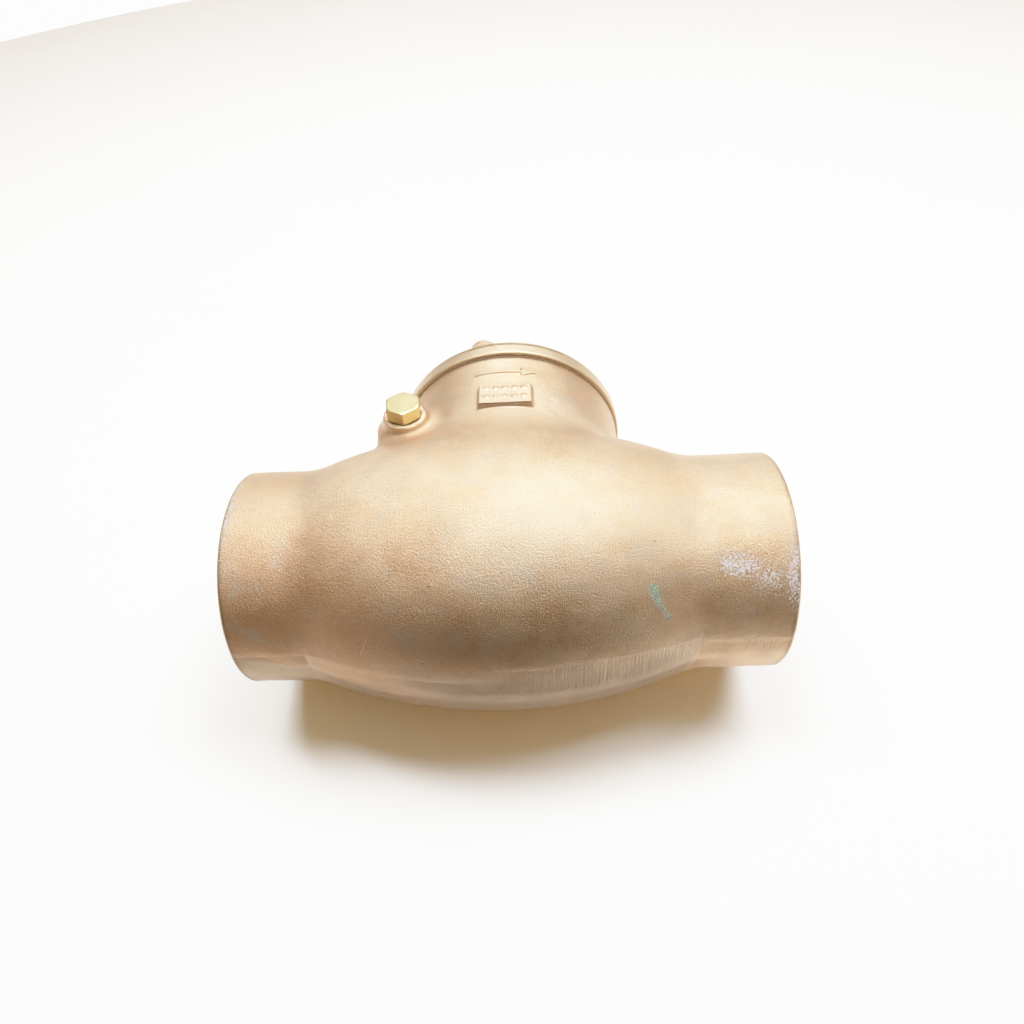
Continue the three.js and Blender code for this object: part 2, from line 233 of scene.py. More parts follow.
def body_outside(x, y, z):
    flow = np.hypot(y, z)
    round_bowl = np.maximum(bowl(x, flow), np.abs(x - BOWL_X) - 80)
    hubs = bar(flow, x, HUB_RADIUS, INLET_X, OUTLET_X, 1.0)
    barrel = smin(round_bowl, hubs, joint_fillet(x, y, z))
    radius = np.maximum(bowl_radius(x), HUB_RADIUS)
    for turn, depth in (ribbed_strip(x), smooth_strip(x)):
        barrel = smax(barrel, z * np.sin(turn) - y * np.cos(turn) - radius + depth, 0.25)
    neck = bar(np.hypot(x, z), y, NECK_RADIUS - 0.012 * (NECK_TOP - y), 0, NECK_TOP, 0.6)
    pin = np.hypot(x - PIN_X, y - PIN_Y)
    lobe = bar(pin, z, LOBE_RADIUS, -LOBE_HALF, LOBE_HALF, 6)
    collar = bar(pin, z, COLLAR_RADIUS + 0.3 * (BOSS_FACE - np.abs(z)), -BOSS_FACE, BOSS_FACE, 0.5)
    whole = smin(barrel, neck, 8)
    whole = smin(whole, lobe, 7)
    whole = smin(whole, collar, 1.2)
    return smin(whole, cast_marks(x, y, z), 0.5)


def cast_marks(x, y, z):
    """A blank plate with plain dots, and a flow arrow, standing up from the front of the neck."""
    draft = 0.28 * (PLATE_FACE - z)
    sides = np.abs(x) - PLATE_HALF_WIDTH - draft
    ends = np.abs(y - PLATE_Y) - PLATE_HALF_HEIGHT - draft
    face = smax(sides, ends, 1.2)
    plate = smax(face, z - PLATE_FACE, 0.3)
    for row in (-1, 1):
        for column in range(DOT_COLUMNS):
            middle = (column - (DOT_COLUMNS - 1) / 2) * DOT_SPACING
            away = np.hypot(x - middle, y - PLATE_Y - 0.3 - row * 2.8)
            plate = smin(plate, np.hypot(away, z - PLATE_FACE + DOT_RADIUS / 2) - DOT_RADIUS, 0.5)
    foot_y = PLATE_Y - PLATE_HALF_HEIGHT - 0.1
    groove = box(x, y, z, (0, foot_y, PLATE_FACE), (PLATE_HALF_WIDTH - 0.2, 0.2, 1.0), 0.1)
    plate = smax(plate, -groove, 0.2)
    neck = np.hypot(x, z) - NECK_RADIUS
    shaft = smax(np.abs(y - ARROW_Y) - 0.55, np.abs(x + 2) - 11, 0.3)
    head = smax(np.abs(y - ARROW_Y) - 0.4 * (ARROW_TIP_X - x), ARROW_TIP_X - 6.5 - x, 0.4)
    arrow = smax(np.minimum(shaft, head), neck - 0.6, 0.3)
    marks = np.minimum(plate, arrow)
    return np.where(z > 0, marks, 5.0)


def inlet_passage(x, y, flow):
    stop = INLET_X + CUP_DEPTH
    cup = bar(flow, x, CUP_RADIUS, INLET_X - 5, stop, 0.3)
    cone = CUP_STOP_RADIUS - (CUP_STOP_RADIUS - SEAT_BORE) * np.clip((x - stop) / 25, 0, 1)
    throat = np.maximum(flow - cone, np.maximum(stop - 4 - x, x - SEAT_X - 1))
    swell = smax(bowl(x, flow, WALL + 1), flow - CUP_STOP_RADIUS - 0.8 * (x - stop), 6)
    swell = smax(smax(swell, x - SEAT_BACK_X, 5), y - BRIDGE_Y, 4)
    return np.minimum(cup, smin(throat, swell, 2))


def outlet_passage(x, flow):
    stop = OUTLET_X - CUP_DEPTH
    cup = bar(flow, x, CUP_RADIUS, stop, OUTLET_X + 5, 0.3)
    chamber = smax(bowl(x, flow, WALL), flow - CUP_STOP_RADIUS - 0.7 * (stop - x), 6)
    chamber = smax(smax(chamber, x - stop - 2, 0.5), SEAT_WALL_X - x, 5)
    ring = bar(flow, x, SEAT_RING, SEAT_WALL_X - 5, SEAT_X, 0.3)
    chamber = smax(chamber, -ring, 0.6)
    return np.minimum(cup, chamber)


def neck_bore(x, y, z):
    neck = np.hypot(x, z)
    floor = PIN_Y - POCKET_RADIUS
    upper = bar(neck, y, NECK_BORE, floor, NECK_TOP + 5, 2)
    lower = smax(bar(neck, y, NECK_BORE, 15, floor + 9, 3), SEAT_WALL_X - x, 4)
    turn = thread(neck, np.arctan2(z, x), y, THREAD_BORE, THREAD_PITCH, THREAD_DEPTH)
    screw = np.maximum(turn, THREAD_Y - y)
    mouth = neck - THREAD_BORE - 1 + (NECK_TOP - y)
    return np.minimum(smin(upper, lower, 2), np.minimum(screw, np.maximum(mouth, THREAD_Y - y)))


def hinge_holes(x, y, z):
    pin = np.hypot(x - PIN_X, y - PIN_Y)
    pocket = bar(pin, z, POCKET_RADIUS, -POCKET_HALF, POCKET_HALF, 2)
    centre = ((PIN_X + SEAT_WALL_X) / 2, PIN_Y, 0)
    mouth = box(x, y, z, centre, ((SEAT_WALL_X - PIN_X) / 2 + 1, POCKET_RADIUS, POCKET_HALF), 2)
    hole = np.minimum(pin - PIN_RADIUS - 0.3, np.maximum(pin - 6.6, PIN_HALF - np.abs(z)))
    return np.minimum(np.minimum(pocket, mouth), hole)


def body(x, y, z):
    flow = np.hypot(y, z)
    hollow = np.minimum(inlet_passage(x, y, flow), outlet_passage(x, flow))
    hollow = np.minimum(hollow, np.minimum(neck_bore(x, y, z), hinge_holes(x, y, z)))
    return smax(body_outside(x, y, z), -hollow, 0.8)


# -------- the cap


def cap_lugs(x, y, z):
    lugs = None
    for i in range(LUG_COUNT):
        angle = LUG_TURN + i * 2 * math.pi / LUG_COUNT
        out = x * math.sin(angle) + z * math.cos(angle)
        side = x * math.cos(angle) - z * math.sin(angle)
        reach = LUG_REACH - LUG_WIDTH / 2
        slot = np.hypot(side, out - np.clip(out, 18, reach)) - LUG_WIDTH / 2
        top = cap_high[1] + 0.6 - 0.0022 * (out - 36) ** 2
        lug = smax(slot + 0.05 * (y - CAP_TOP), y - top, 2)
        lug = np.maximum(lug, CAP_TOP - 3 - y)
        lugs = lug if lugs is None else np.minimum(lugs, lug)
    return lugs


def cap(x, y, z):
    rho = np.hypot(x, z)
    flange = bar(rho, y, CAP_RADIUS, CAP_FOOT, CAP_TOP, 0.5)
    flange = smax(flange, (rho - CAP_RADIUS + 0.5 * (y - CAP_TOP) + 0.6) * 0.894, 0.2)
    hub = bar(rho, y, 14, CAP_TOP - 3, CAP_TOP + 3.2, 2.5)
    solid = smin(flange, smin(cap_lugs(x, y, z), hub, 3), 3)
    turn = thread(rho, np.arctan2(z, x), y, THREAD_BORE - 0.3, THREAD_PITCH, THREAD_DEPTH)
    spigot = np.maximum(turn, np.maximum(cap_low[1] - y, y - CAP_FOOT - 1))
    spigot = smax(spigot, rho - THREAD_BORE + 1.5 - (y - cap_low[1]), 0.3)
    hollow = bar(rho, y, CAP_BORE, cap_low[1] - 5, CAP_FOOT + 1, 3)
    return smax(np.minimum(solid, spigot), -hollow, 0.6)


def gasket(x, y, z):
    rho = np.hypot(x, z)
    ring = bar(rho, y, gasket_high[0] + 0.2, gasket_low[1], gasket_high[1], 0.15)
    return smax(ring, THREAD_BORE + 0.2 - rho, 0.2)


# -------- hinge


def hinge_pin(x, y, z):
    pin = np.hypot(x - PIN_X, y - PIN_Y)
    blunt = pin - PIN_RADIUS + 0.8 - (PIN_HALF - np.abs(z))
    return smax(bar(pin, z, PIN_RADIUS, -PIN_HALF, PIN_HALF, 0.2), blunt * 0.707, 0.2)


def side_plug(side):
    """The plug on the +Z or the -Z side: chamfered hexagon, washer face, threaded shank."""
    head = BOSS_FACE + 0.3

    def distance(x, y, z):
        u, v, along = x - PIN_X, y - PIN_Y, z * side
        rho = np.hypot(u, v)
        prism = hex_bar(u, v, along, PLUG_ACROSS, head, plug_high[2], PLUG_TURN, False)
        face = bar(rho, along, PLUG_ACROSS / 2 - 0.2, head - 0.2, head + 1, 0.1)
        turn = thread(rho, np.arctan2(v, u) * side, along, 6.3, 1.41, 0.6)
        shank = np.maximum(turn, np.maximum(plug_low[2] - along, along - head - 1))
        return np.minimum(np.minimum(prism, face), shank)

    return distance


def hanger(x, y, z):
    """The swing arm: an eye on the pin, an arm over and down, and a collar round the holder's stem."""
    pin = np.hypot(x - PIN_X, y - PIN_Y)
    stem = np.hypot(y, z)
    front, back = HOLDER_BACK_X + 0.3, hanger_high[0]
    eye = bar(pin, z, 7.2, hanger_low[2], hanger_high[2], 0.8)
    top = PIN_Y + 4.6
    under = PIN_Y - 5.4
    over = smax(y - top, under - y, 1.5)
    over = smax(over, np.maximum(PIN_X - x, x - back), 2)
    down = smax(np.maximum(front - x, x - back), np.maximum(-y, y - top), 1.5)
    corner = np.hypot(np.maximum(x - back + 12, 0), np.maximum(y - top + 12, 0)) - 12
    arm = smax(smax(smin(over, down, 3), corner, 1), np.abs(z) - 6.8 - 0.05 * (y - 20).clip(0), 2.5)
    collar = bar(stem, x, 10.5, front, back, 0.6)
    solid = smin(smin(arm, eye, 4), collar, 3)
    holes = np.minimum(pin - PIN_RADIUS - 0.3, stem - STEM_HOLE)
    return smax(solid, -holes, 0.5)


# -------- disc


def disc_holder(x, y, z):
    rho = np.hypot(y, z)
    radius = holder_high[1]
    back = bar(rho, x, radius, seat_low[0] + 1.4, HOLDER_BACK_X, 0.3)
    back = smax(back, (rho - radius + x - HOLDER_BACK_X + 2.2) * 0.707, 0.4)
    recess = bar(rho, x, seat_high[1] + 0.3, seat_low[0] - 5, seat_high[0] + 0.3, 0.1)
    plate = smax(back, -recess, 0.2)
    boss = smax(rho - 16, x - HOLDER_BACK_X - 0.2, 0.2)
    angle = np.arctan2(z, y)
    stud = thread(rho, angle, x, STUD_HOLE - 0.3, 1.25, 0.5)
    stud = np.maximum(stud, np.maximum(holder_low[0] - x, x - seat_low[0] - 5))
    screw = thread(rho, angle, x, STEM_RADIUS, 1.5, 0.6)
    stem_side = np.where(x > hanger_high[0] + 1.8, screw, rho - STEM_RADIUS)
    stem = np.maximum(stem_side, np.maximum(seat_high[0] + 1 - x, x - holder_high[0]))
    stem = smax(stem, rho - STEM_RADIUS + 1 + (x - holder_high[0]), 0.2)
    solid = np.minimum(np.minimum(plate, stud), smin(stem, np.maximum(boss, HOLDER_BACK_X - 4 - x), 1))
    hole = np.hypot(x - COTTER_X, y) - 1.4
    return smax(solid, -hole, 0.2)


def ring(node, inner, edge=0.3):
    """A flat ring round the flow axis that fills a node's box."""
    low, high = valve_box(node)

    def distance(x, y, z):
        rho = np.hypot(y, z)
        return smax(bar(rho, x, high[1], low[0], high[0], edge), inner - rho, edge)

    return distance


def nut(node, across, inner):
    """A hexagon nut round the flow axis that fills a node's box."""
    low, high = valve_box(node)

    def distance(x, y, z):
        rho = np.hypot(y, z)
        outside = hex_bar(y, z, x, across, low[0], high[0])
        countersink = rho - inner - 0.8 + np.minimum(x - low[0], high[0] - x)
        return smax(smax(outside, inner - rho, 0.2), -countersink, 0.2)

    return distance


def cotter(x, y, z):
    """Split pin folded from half-round wire, with a loop at one end and its legs bent at the other."""
    u = x - COTTER_X
    low, high = valve_box("cotter_pin")
    loop_z = low[2] + 2.9
    loop = np.hypot(np.hypot(y, z - loop_z) - 2.0, u) - 0.8
    start = loop_z + 1.6
    bend = 7.6
    legs = None
    for side in (-1, 1):
        spread = np.maximum(z - bend, 0) * 0.95 * side
        leg = np.hypot(u, y - 0.45 * side - spread) * 0.8 - 0.58
        leg = np.maximum(leg, np.maximum(start - z, z - high[2] + 0.3))
        legs = leg if legs is None else np.minimum(legs, leg)
    return smin(loop, legs, 0.5)


# -------- from distance to mesh


def surface_net(distance, low, high, step):
    """Points and four-sided faces of the zero level of a distance in a box."""
    axes = [np.arange(a - 1.5 * step, b + 2.5 * step, step, dtype=np.float32) for a, b in zip(low, high)]
    field = distance(*np.meshgrid(*axes, indexing="ij", sparse=True))
    field = np.broadcast_to(field, [len(a) for a in axes])
    inside = field < 0
    corners = np.array(list(itertools.product((0, 1), repeat=3)))
    shape = [n - 1 for n in inside.shape]
    count = sum(
        inside[i:i + shape[0], j:j + shape[1], k:k + shape[2]].astype(np.int8) for i, j, k in corners
    )
    mixed = (count > 0) & (count < 8)
    cells = np.argwhere(mixed)
    number = np.full(mixed.shape, -1, np.int32)
    number[mixed] = np.arange(len(cells))
    at = cells[:, None, :] + corners[None]
    values = field[at[..., 0], at[..., 1], at[..., 2]]
    total, hits = np.zeros((len(cells), 3)), np.zeros(len(cells))
    for a, b in itertools.combinations(range(8), 2):
        if np.abs(corners[a] - corners[b]).sum() != 1:
            continue
        crossed = (values[:, a] < 0) != (values[:, b] < 0)
        share = np.where(crossed, values[:, a] / (values[:, a] - values[:, b] + 1e-12), 0)
        total += crossed[:, None] * (corners[a] + share[:, None] * (corners[b] - corners[a]))
        hits += crossed
    start = np.array([a[0] for a in axes])
    points = start + step * (cells + total / hits[:, None])
    faces = []
    for axis in range(3):
        first = np.take(inside, range(inside.shape[axis] - 1), axis)
        second = np.take(inside, range(1, inside.shape[axis]), axis)
        edge = np.argwhere(first != second)
        u, v = (axis + 1) % 3, (axis + 2) % 3
        keep = (edge[:, u] > 0) & (edge[:, v] > 0) & (edge[:, u] < shape[u]) & (edge[:, v] < shape[v])
        edge = edge[keep]
        quad = []
        for du, dv in ((1, 1), (0, 1), (0, 0), (1, 0)):
            cell = edge.copy()
            cell[:, u] -= du
            cell[:, v] -= dv
            quad.append(number[cell[:, 0], cell[:, 1], cell[:, 2]])
        quad = np.stack(quad, 1)
        out = first[edge[:, 0], edge[:, 1], edge[:, 2]]
        quad[~out] = quad[~out][:, ::-1]
        faces.append(quad)
    return points, np.concatenate(faces)


def gradient(distance, points, reach=0.02):
    """The distance at points, its unit normals, and how steep it is there."""
    x, y, z = points.T
    middle = distance(x, y, z)
    slopes = [distance(x + reach, y, z), distance(x, y + reach, z), distance(x, y, z + reach)]
    slope = (np.stack(slopes, 1) - middle[:, None]) / reach
    length = np.linalg.norm(slope, axis=1, keepdims=True).clip(0.3)
    return middle, slope / length, length[:, 0]


def settle(distance, points, most, rounds=2):
    """Moves points onto the zero level, a given step at most each round, and gives their normals too."""
    for _ in range(rounds):
        off, normal, length = gradient(distance, points)
        points = points - normal * np.clip(off / length, -most, most)[:, None]
    return points, gradient(distance, points)[1]


def lattice_noise(points, size, seed):
    """Smooth noise between -1 and 1 with cells of a given size."""
    grid = np.random.default_rng(seed).uniform(-1, 1, (32, 32, 32))
    place = points / size
    base = np.floor(place).astype(int)
    part = place - base
    part = part * part * (3 - 2 * part)
    value = 0
    for corner in itertools.product((0, 1), repeat=3):
        weight = np.prod(np.where(corner, part, 1 - part), axis=1)
        at = (base + corner) % 32
        value = value + weight * grid[at[:, 0], at[:, 1], at[:, 2]]
    return value


def mesh_of(name, points, faces):
    mesh = bpy.data.meshes.new(name)
    mesh.from_pydata(to_row(points).tolist(), [], faces)
    mesh.update()
    mesh.shade_smooth()
    piece = bpy.data.objects.new(name, mesh)
    bpy.context.scene.collection.objects.link(piece)
    return piece


def refined(points, faces, inside, cuts):
    """The same mesh with the faces of one region cut finer; inside tells which points the region holds."""
    mesh = bmesh.new()
    verts = [mesh.verts.new(p) for p in points]
    for face in faces:
        mesh.faces.new([verts[i] for i in face])
    mesh.verts.index_update()
    chosen = inside(points)
    edges = [e for e in mesh.edges if chosen[e.verts[0].index] and chosen[e.verts[1].index]]
    bmesh.ops.subdivide_edges(mesh, edges=edges, cuts=cuts, use_grid_fill=True)
    mesh.verts.index_update()
    new_points = np.array([v.co for v in mesh.verts])
    new_faces = [[v.index for v in f.verts] for f in mesh.faces]
    mesh.free()
    return new_points, new_faces


def sculpted(name, distance, node, step, relief=None, fine=None, margin=1.0):
    """A piece meshed from its distance around the CAD node that it stands for."""
    low, high = valve_box(node)
    points, faces = surface_net(distance, low - margin, high + margin, step * COARSE)
    faces = faces.tolist()
    if fine:
        points, faces = refined(points, faces, fine, 2)
    points, normals = settle(distance, points, step * COARSE * 0.5)
    if relief:
        points = points + normals * relief(points)[:, None]
    piece = mesh_of(name, points, faces)
    return piece, points, normals


def paint(piece, name, values):
    """Keeps one number from 0 to 1 for each point of a piece, for its material to read."""
    layer = piece.data.attributes.new(name, "FLOAT", "POINT")
    layer.data.foreach_set("value", np.clip(values, 0, 1).astype(np.float32))


def stand_in(piece, body_name, node, slot, material):
    """Gives a piece its material, and puts it on a body in place of a CAD node."""
    piece.data.materials.append(material)
    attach(piece, body_name)
    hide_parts(node)


# -------- materials

SCRATCHES = [  # ends of each hair line, in the valve's axes and millimetres
    ((-55.1, -50.0, 14.2), (-51.7, -48.4, 21.3)),
    ((-65.0, -15.1, 46.7), (-63.9, -11.0, 48.2)),
    ((-37.6, -41.8, 36.9), (-30.0, -45.8, 33.7)),
]


def add(tree, kind, inputs=None, **settings):
    """One shader node with its settings, and its inputs as numbers or as links."""
    made = tree.nodes.new(kind)
    for key, value in settings.items():
        setattr(made, key, value)
    for key, value in (inputs or {}).items():
        put(tree, value, made.inputs[key])
    return made


def put(tree, value, socket):
    """Sets a socket to a number, or links it to another node's output."""
    if isinstance(value, bpy.types.NodeSocket):
        tree.links.new(value, socket)
    else:
        socket.default_value = value


def rgb(r, g, b):
    return (r, g, b, 1.0)


def noise(tree, vector, size_mm, detail=2.0, roughness=0.5):
    """Noise with cells of about the given size."""
    inputs = {"Vector": vector, "Scale": 1 / (size_mm * MM), "Detail": detail, "Roughness": roughness}
    return add(tree, "ShaderNodeTexNoise", inputs).outputs["Fac"]


def mix(tree, share, a, b):
    """Colour a, gone over to colour b by a share."""
    made = add(tree, "ShaderNodeMix", data_type="RGBA")
    for index, value in ((0, share), (6, a), (7, b)):
        put(tree, value, made.inputs[index])
    return made.outputs[2]


def calc(tree, operation, a, b=0.0, clamp=False):
    made = add(tree, "ShaderNodeMath", {0: a, 1: b}, operation=operation, use_clamp=clamp)
    return made.outputs[0]


def times(tree, a, b):
    return calc(tree, "MULTIPLY", a, b)


def rise(tree, value, low, high, to_low=0.0, to_high=1.0):
    """A value that goes smoothly from to_low to to_high while the input goes from low to high."""
    inputs = {"Value": value, "From Min": low, "From Max": high, "To Min": to_low, "To Max": to_high}
    made = add(tree, "ShaderNodeMapRange", inputs, interpolation_type="SMOOTHSTEP")
    return made.outputs["Result"]


def painted(tree, name):
    """What paint() kept on the mesh under this name."""
    return add(tree, "ShaderNodeAttribute", attribute_name=name).outputs["Fac"]


def new_material(name):
    """A material, its nodes, its shader, and the place on the object in metres."""
    material = bpy.data.materials.new(name)
    material.use_nodes = True
    tree = material.node_tree
    shader = tree.nodes["Principled BSDF"]
    place = add(tree, "ShaderNodeTexCoord").outputs["Object"]
    return material, tree, shader, place


def surface(tree, shader, colour, roughness, metallic=1.0):
    """Colour, roughness and share of metal, each as a value or as a node's output."""
    for name, value in (("Base Color", colour), ("Roughness", roughness), ("Metallic", metallic)):
        put(tree, value, shader.inputs[name])


def bump(tree, shader, height, distance_mm, strength):
    inputs = {"Height": height, "Distance": distance_mm * MM, "Strength": strength}
    made = add(tree, "ShaderNodeBump", inputs)
    tree.links.new(made.outputs["Normal"], shader.inputs["Normal"])


def cast_bronze():
    """Sand-cast bronze: granular, satin, stained, with lime, verdigris, ground and machined places, painted
    shade and painted highlights.
    """
    material, tree, shader, place = new_material("cast_bronze")
    cloud = noise(tree, place, 11, 4, 0.55)
    grain = noise(tree, place, 0.62, 4, 0.68)
    grit = noise(tree, place, 0.45, 2, 0.6)
    crumbs = noise(tree, place, 0.8, 4, 0.75)
    machined = painted(tree, "machined")
    polish_and_highlight = painted(tree, "polish_and_highlight")
    bare = calc(tree, "SUBTRACT", 1.0, machined)
    lime = lime_share(tree, crumbs, bare)
    green = verdigris_share(tree, crumbs)

    colour = bronze_colour(tree, place, cloud, grain, grit)
    colour = mix(tree, times(tree, machined, 0.85), colour, rgb(0.88, 0.70, 0.42))
    # painted highlight: a lighter colour, with a little less roughness, on the ground strips and rubbed
    # places
    colour = mix(tree, times(tree, polish_and_highlight, 0.4), colour, rgb(0.82, 0.61, 0.42))
    colour = soiled_and_shaded(tree, colour, crumbs)
    colour = marked(tree, place, colour, bare)
    colour = mix(tree, lime, colour, rgb(0.60, 0.57, 0.58))
    patina = mix(tree, rise(tree, grain, 0.38, 0.62), rgb(0.05, 0.11, 0.08), rgb(0.30, 0.36, 0.27))
    colour = mix(tree, green, colour, patina)

    dusty = calc(tree, "MAXIMUM", lime, green)
    rough = rise(tree, cloud, 0.3, 0.7, 0.40, 0.47)
    rough = calc(tree, "SUBTRACT", rough, times(tree, machined, 0.13))
    rough = calc(tree, "SUBTRACT", rough, times(tree, polish_and_highlight, 0.05))
    rough = calc(tree, "ADD", rough, times(tree, dusty, 0.35), clamp=True)
    surface(tree, shader, colour, rough, rise(tree, dusty, 0, 1, 0.94, 0.0))

    lump = noise(tree, place, 3.2, 2, 0.5)
    height = calc(tree, "ADD", times(tree, lump, 0.3), times(tree, grain, 0.8))
    height = calc(tree, "ADD", height, times(tree, grit, 0.16))
    smooth = calc(tree, "MAXIMUM", machined, times(tree, painted(tree, "ground"), 0.75))
    height = times(tree, height, calc(tree, "SUBTRACT", 1.0, smooth))
    height = calc(tree, "ADD", height, times(tree, grinder_ribs(tree, place), painted(tree, "ribs")))
    height = calc(tree, "ADD", height, times(tree, lime, 0.3))
    bump(tree, shader, height, 0.58, 0.9)
    return material


def bronze_colour(tree, place, cloud, grain, grit):
    """The clean casting: stains, a copper tone, brown clouds, and the grain's dark hollows and pale tips."""
    stain = noise(tree, place, 34, 5, 0.6)
    colour = mix(tree, rise(tree, stain, 0.30, 0.70), rgb(0.60, 0.36, 0.20), rgb(0.755, 0.525, 0.335))
    copper = times(tree, painted(tree, "copper"), 0.85)
    colour = mix(tree, copper, colour, rgb(0.60, 0.335, 0.18))
    colour = mix(tree, rise(tree, cloud, 0.48, 0.70, 0, 0.55), colour, rgb(0.56, 0.435, 0.31))
    colour = mix(tree, rise(tree, grain, 0.52, 0.34, 0, 0.4), colour, rgb(0.36, 0.22, 0.12))
    return mix(tree, rise(tree, grit, 0.60, 0.75, 0, 0.35), colour, rgb(0.90, 0.68, 0.45))


def soiled_and_shaded(tree, colour, crumbs):
    """A colour under the painted layers of pale haze, dull oxide with painted shade, and dark grime with
    painted shade.
    """
    haze = calc(tree, "MULTIPLY", painted(tree, "haze"), rise(tree, crumbs, 0.25, 0.75), clamp=True)
    colour = mix(tree, times(tree, haze, 0.65), colour, rgb(0.51, 0.43, 0.33))
    # painted shade as well as oxide: this layer darkens the underside and the left hub's lower side
    colour = mix(tree, times(tree, painted(tree, "oxide_and_shade"), 0.75), colour, rgb(0.44, 0.32, 0.215))
    # painted shade: this layer darkens corners, the plate's foot, below the boss and the lower body, besides
    # dark lines
    return mix(tree, times(tree, painted(tree, "grime_and_shade"), 0.8), colour, rgb(0.17, 0.10, 0.06))


def marked(tree, place, colour, bare):
    """A colour with small bright nicks, the scratches, and dark pits, on what isn't machined."""
    nicks = rise(tree, noise(tree, place, 1.2, 1, 0.4), 0.80, 0.84)
    for start, end in SCRATCHES:
        nicks = calc(tree, "MAXIMUM", nicks, times(tree, scratch(tree, place, start, end), 0.5))
    colour = mix(tree, times(tree, nicks, bare), colour, rgb(0.90, 0.72, 0.52))
    pits = rise(tree, noise(tree, place, 2.1, 1, 0.4), 0.80, 0.84)
    return mix(tree, times(tree, pits, bare), colour, rgb(0.10, 0.06, 0.04))


def lime_share(tree, crumbs, bare):
    """Where limescale sticks: crumbs, more of them where more was painted."""
    more = calc(tree, "ADD", crumbs, times(tree, painted(tree, "lime"), 0.33))
    return times(tree, rise(tree, more, 0.80, 0.86), bare)


def verdigris_share(tree, crumbs):
    """Where green copper salts sit: crumbs inside the painted streak."""
    verdigris = painted(tree, "verdigris")
    more = calc(tree, "ADD", crumbs, times(tree, verdigris, 0.55))
    return times(tree, rise(tree, more, 0.74, 0.84), rise(tree, verdigris, 0.02, 0.15))


def grinder_ribs(tree, place):
    """Chatter marks that a grinder leaves across its way, fine ones and, worn to pieces, coarse ones."""
    along = add(tree, "ShaderNodeSeparateXYZ", {"Vector": place}).outputs["X"]
    height = 0.0
    for pitch, depth, patch in ((1.45, 0.07, 5), (3.1, 0.10, 3.5)):
        wander = times(tree, noise(tree, place, 2 * patch, 1, 0.5), 2.5)
        phase = calc(tree, "ADD", times(tree, along, 2 * math.pi / (pitch * MM)), wander)
        left = rise(tree, noise(tree, place, patch, 2, 0.5), 0.38, 0.65, 0.0, depth)
        height = calc(tree, "ADD", height, times(tree, calc(tree, "SINE", phase), left))
    return height


def vector_math(tree, operation, a, b=None):
    inputs = {0: a} if b is None else {0: a, 1: b}
    return add(tree, "ShaderNodeVectorMath", inputs, operation=operation).outputs


def scratch(tree, place, start, end):
    """1 on a hair line between two points given in the valve's axes."""
    start, end = (Vector(to_row(np.array(point))) for point in (start, end))
    way = (end - start) / (end - start).length_squared
    moved = vector_math(tree, "SUBTRACT", place, start)["Vector"]
    share = vector_math(tree, "DOT_PRODUCT", moved, way)["Value"]
    share = calc(tree, "ADD", share, 0.0, clamp=True)
    inputs = {0: end - start, "Scale": share}
    nearest = add(tree, "ShaderNodeVectorMath", inputs, operation="SCALE").outputs["Vector"]
    away = vector_math(tree, "DISTANCE", moved, nearest)["Value"]
    return rise(tree, away, 0.2 * MM, 0.05 * MM)


def drawn_brass():
    """Bright hexagon bar brass with fine draw lines and light tarnish."""
    material, tree, shader, place = new_material("drawn_brass")
    tarnish = noise(tree, place, 6, 4, 0.6)
    scuff = noise(tree, place, 0.8, 3, 0.6)
    colour = mix(tree, rise(tree, tarnish, 0.35, 0.7), rgb(0.74, 0.61, 0.31), rgb(0.64, 0.51, 0.25))
    surface(tree, shader, colour, rise(tree, scuff, 0.3, 0.7, 0.30, 0.42))
    bump(tree, shader, scuff, 0.06, 0.5)
    return material


def turned(name, light, dark, roughness, axis):
    """Lathe-turned metal, with fine rings round an axis, given as a point and a direction in the frame."""
    material, tree, shader, place = new_material(name)
    centre, direction = axis
    moved = vector_math(tree, "SUBTRACT", place, centre)["Vector"]
    across = vector_math(tree, "CROSS_PRODUCT", moved, direction)["Vector"]
    radius = vector_math(tree, "LENGTH", across)["Value"]
    along = vector_math(tree, "DOT_PRODUCT", moved, direction)["Value"]
    inputs = {"W": calc(tree, "ADD", radius, along), "Scale": 4200.0, "Detail": 2.0}
    rings = add(tree, "ShaderNodeTexNoise", inputs, noise_dimensions="1D").outputs["Fac"]
    stain = noise(tree, place, 9, 4, 0.6)
    colour = mix(tree, rise(tree, stain, 0.35, 0.7), rgb(*light), rgb(*dark))
    surface(tree, shader, colour, rise(tree, rings, 0.3, 0.7, roughness - 0.05, roughness + 0.08))
    bump(tree, shader, rings, 0.03, 0.6)
    return material


def hanger_bronze():
    """Finer sand casting, a little darker than the body."""
    material, tree, shader, place = new_material("hanger_bronze")
    stain = noise(tree, place, 12, 4, 0.6)
    grain = noise(tree, place, 0.9, 2, 0.5)
    colour = mix(tree, rise(tree, stain, 0.35, 0.7), rgb(0.60, 0.40, 0.24), rgb(0.48, 0.33, 0.21))
    surface(tree, shader, colour, rise(tree, stain, 0.3, 0.7, 0.42, 0.55), 0.95)
    bump(tree, shader, grain, 0.25, 0.7)
    return material


def soft_plastic():
    """Skived PTFE: white, waxy, with faint knife lines."""
    material, tree, shader, place = new_material("seat_plastic")
    lines = noise(tree, place, 0.7, 2, 0.5)
    stain = noise(tree, place, 14, 3, 0.5)
    colour = mix(tree, rise(tree, stain, 0.45, 0.75, 0, 0.5), rgb(0.86, 0.85, 0.81), rgb(0.74, 0.70, 0.62))
    surface(tree, shader, colour, rise(tree, lines, 0.3, 0.7, 0.38, 0.5), 0.0)
    shader.inputs["Subsurface Weight"].default_value = 0.15
    shader.inputs["Subsurface Scale"].default_value = 0.002
    bump(tree, shader, lines, 0.05, 0.4)
    return material


